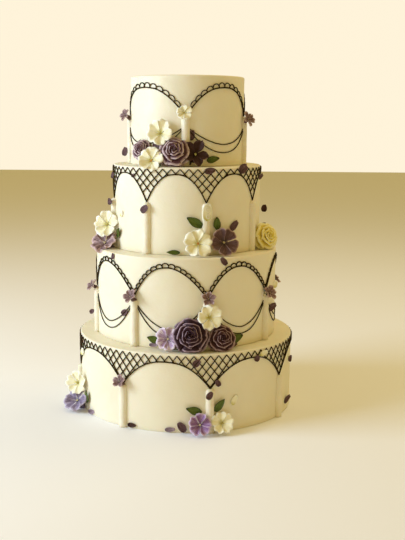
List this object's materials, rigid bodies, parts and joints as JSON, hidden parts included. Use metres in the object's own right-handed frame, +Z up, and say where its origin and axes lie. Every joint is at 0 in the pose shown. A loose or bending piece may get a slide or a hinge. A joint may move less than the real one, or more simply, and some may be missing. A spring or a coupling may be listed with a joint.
{
  "type": "tiered wedding cake",
  "caption": "Round tiered wedding cake with smooth ivory icing, piped columns, arches, nets and swags, and clusters of sugar flowers and leaves.",
  "frame": {"origin": "centre of the bottom tier's flat underside, on the tiers' common axis", "axes": "+Z up along the tiers' axis; -Y is the front, the side that the picture shows; +X is to the right seen from the front"},
  "size_m": [0.3386, 0.3462, 0.4807],
  "materials": {
    "icing": "smooth satin icing",
    "petal_ivory": "matte sugar paste",
    "petal_lilac": "matte sugar paste",
    "petal_plum": "matte sugar paste",
    "petal_dark": "matte sugar paste",
    "leaf_green": "matte sugar paste"
  },
  "bodies": {
    "root": {"tier_bottom": "icing", "tier_second": "icing", "tier_third": "icing", "tier_top": "icing", "blossom_top_low": "petal_ivory", "rose_top": "petal_plum", "blossom_top_high": "petal_ivory", "blossom_top_dark": "petal_dark", "rosebud_top": "petal_plum", "posy_top_front": "petal_ivory", "posy_top_left": "petal_plum", "posy_top_right": "petal_plum", "posy_top_back": "petal_plum", "rose_top_back": "petal_plum", "blossom_top_back": "petal_ivory", "blossom_third_ivory": "petal_ivory", "blossom_third_plum": "petal_plum", "blossom_third_left": "petal_ivory", "blossom_third_left_plum": "petal_plum", "rose_third_right": "petal_ivory", "rose_third_back": "petal_plum", "blossom_third_back": "petal_ivory", "rose_second_dark": "petal_dark", "blossom_second_ivory": "petal_ivory", "rose_second_plum": "petal_plum", "blossom_second_lilac": "petal_lilac", "posy_second_front": "petal_plum", "posy_second_front_left": "petal_plum", "posy_second_right": "petal_plum", "posy_second_left": "petal_plum", "posy_second_back_right": "petal_plum", "posy_second_back_mid": "petal_plum", "posy_second_back_left": "petal_plum", "rose_second_back": "petal_dark", "blossom_second_back": "petal_ivory", "blossom_foot_lilac": "petal_lilac", "blossom_foot_ivory": "petal_ivory", "blossom_foot_left": "petal_ivory", "blossom_foot_left_lilac": "petal_lilac", "posy_foot_front_left": "petal_plum", "blossom_foot_back": "petal_ivory", "rose_foot_back": "petal_plum", "leaf_top_right": "leaf_green", "leaf_top_back": "leaf_green", "leaf_third_high": "leaf_green", "leaf_third_right": "leaf_green", "leaf_third_left": "leaf_green", "leaf_third_ledge": "leaf_green", "leaf_second_left": "leaf_green", "leaf_second_right": "leaf_green", "leaf_second_back": "leaf_green", "leaf_foot_left_low": "leaf_green", "leaf_foot_right_high": "leaf_green", "leaf_foot_left": "leaf_green", "leaf_foot_back": "leaf_green"}
  },
  "joints": []
}
